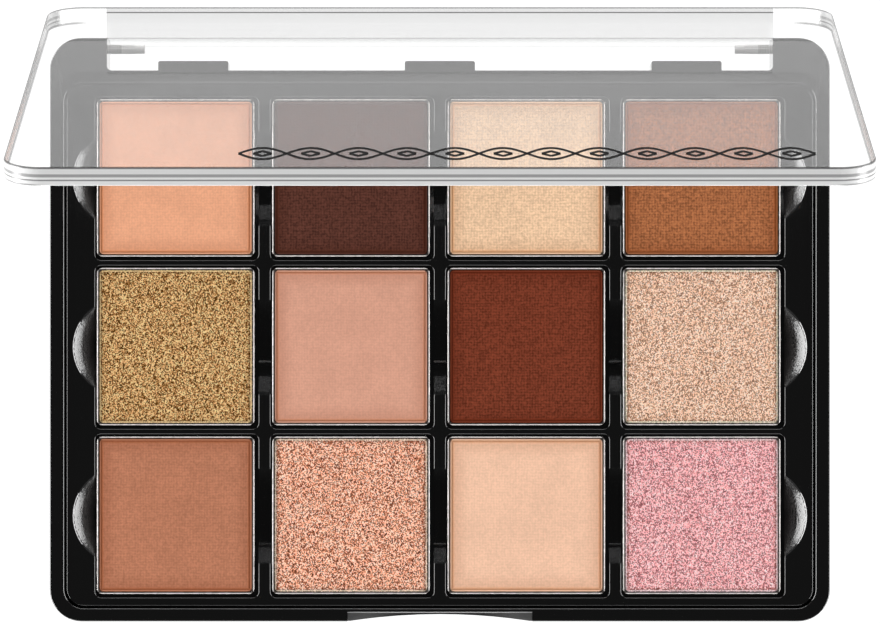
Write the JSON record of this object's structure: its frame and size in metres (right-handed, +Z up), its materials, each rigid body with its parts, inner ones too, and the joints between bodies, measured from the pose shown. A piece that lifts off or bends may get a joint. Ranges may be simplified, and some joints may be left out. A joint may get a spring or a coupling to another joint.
{
  "type": "eyeshadow palette",
  "caption": "Flat rectangular make-up palette: a glossy black base and tray hold square lift-out pans of pressed powder under a clear lid hinged along the rear.",
  "frame": {"origin": "centre of the base shell's flat underside", "axes": "+X along the case's width and the hinge line, to the right seen from the front; +Y from the front edge to the hinge; +Z up"},
  "size_m": [0.1298, 0.1018, 0.0979],
  "materials": {
    "base_black": "polished moulding",
    "tray_black": "polished moulding",
    "lid_clear": "clear polished moulding",
    "pin_steel": "drawn and knurled wire",
    "pan_tinplate": "tin-plated pressed steel",
    "magnet_nickel": "nickel plated",
    "powder_peach": "matte pressed powder",
    "powder_plum": "matte pressed powder",
    "powder_vanilla": "satin pressed powder",
    "powder_caramel": "matte pressed powder",
    "powder_gold": "coarse glitter pressed powder",
    "powder_dusty_rose": "matte pressed powder",
    "powder_mahogany": "matte pressed powder",
    "powder_champagne": "fine shimmer pressed powder",
    "powder_terracotta": "matte pressed powder",
    "powder_rose_gold": "coarse glitter pressed powder",
    "powder_nude": "matte pressed powder",
    "powder_pink": "fine shimmer pressed powder"
  },
  "bodies": {
    "base": {"base_shell": "base_black", "insert_tray": "tray_black", "magnet_peach": "magnet_nickel", "magnet_plum": "magnet_nickel", "magnet_vanilla": "magnet_nickel", "magnet_caramel": "magnet_nickel", "magnet_gold": "magnet_nickel", "magnet_dusty_rose": "magnet_nickel", "magnet_mahogany": "magnet_nickel", "magnet_champagne": "magnet_nickel", "magnet_terracotta": "magnet_nickel", "magnet_rose_gold": "magnet_nickel", "magnet_nude": "magnet_nickel", "magnet_pink": "magnet_nickel"},
    "lid": {"lid": "lid_clear", "hinge_pin_left": "pin_steel", "hinge_pin_right": "pin_steel"},
    "peach_pan": {"pan_peach": "pan_tinplate", "powder_peach": "powder_peach"},
    "plum_pan": {"pan_plum": "pan_tinplate", "powder_plum": "powder_plum"},
    "vanilla_pan": {"pan_vanilla": "pan_tinplate", "powder_vanilla": "powder_vanilla"},
    "caramel_pan": {"pan_caramel": "pan_tinplate", "powder_caramel": "powder_caramel"},
    "gold_pan": {"pan_gold": "pan_tinplate", "powder_gold": "powder_gold"},
    "dusty_rose_pan": {"pan_dusty_rose": "pan_tinplate", "powder_dusty_rose": "powder_dusty_rose"},
    "mahogany_pan": {"pan_mahogany": "pan_tinplate", "powder_mahogany": "powder_mahogany"},
    "champagne_pan": {"pan_champagne": "pan_tinplate", "powder_champagne": "powder_champagne"},
    "terracotta_pan": {"pan_terracotta": "pan_tinplate", "powder_terracotta": "powder_terracotta"},
    "rose_gold_pan": {"pan_rose_gold": "pan_tinplate", "powder_rose_gold": "powder_rose_gold"},
    "nude_pan": {"pan_nude": "pan_tinplate", "powder_nude": "powder_nude"},
    "pink_pan": {"pan_pink": "pan_tinplate", "powder_pink": "powder_pink"}
  },
  "joints": [
    {"name": "lid_hinge", "type": "hinge", "parent": "base", "child": "lid", "pos_m": [0, 0.04655, 0.0052], "axis": [-1, 0, 0], "range_deg": [-72.45, 37.55]},
    {"name": "peach_lift", "type": "slide", "parent": "base", "child": "peach_pan", "axis": [0, 0, 1], "range_m": [0, 0.012]},
    {"name": "plum_lift", "type": "slide", "parent": "base", "child": "plum_pan", "axis": [0, 0, 1], "range_m": [0, 0.012]},
    {"name": "vanilla_lift", "type": "slide", "parent": "base", "child": "vanilla_pan", "axis": [0, 0, 1], "range_m": [0, 0.012]},
    {"name": "caramel_lift", "type": "slide", "parent": "base", "child": "caramel_pan", "axis": [0, 0, 1], "range_m": [0, 0.012]},
    {"name": "gold_lift", "type": "slide", "parent": "base", "child": "gold_pan", "axis": [0, 0, 1], "range_m": [0, 0.012]},
    {"name": "dusty_rose_lift", "type": "slide", "parent": "base", "child": "dusty_rose_pan", "axis": [0, 0, 1], "range_m": [0, 0.012]},
    {"name": "mahogany_lift", "type": "slide", "parent": "base", "child": "mahogany_pan", "axis": [0, 0, 1], "range_m": [0, 0.012]},
    {"name": "champagne_lift", "type": "slide", "parent": "base", "child": "champagne_pan", "axis": [0, 0, 1], "range_m": [0, 0.012]},
    {"name": "terracotta_lift", "type": "slide", "parent": "base", "child": "terracotta_pan", "axis": [0, 0, 1], "range_m": [0, 0.012]},
    {"name": "rose_gold_lift", "type": "slide", "parent": "base", "child": "rose_gold_pan", "axis": [0, 0, 1], "range_m": [0, 0.012]},
    {"name": "nude_lift", "type": "slide", "parent": "base", "child": "nude_pan", "axis": [0, 0, 1], "range_m": [0, 0.012]},
    {"name": "pink_lift", "type": "slide", "parent": "base", "child": "pink_pan", "axis": [0, 0, 1], "range_m": [0, 0.012]}
  ]
}
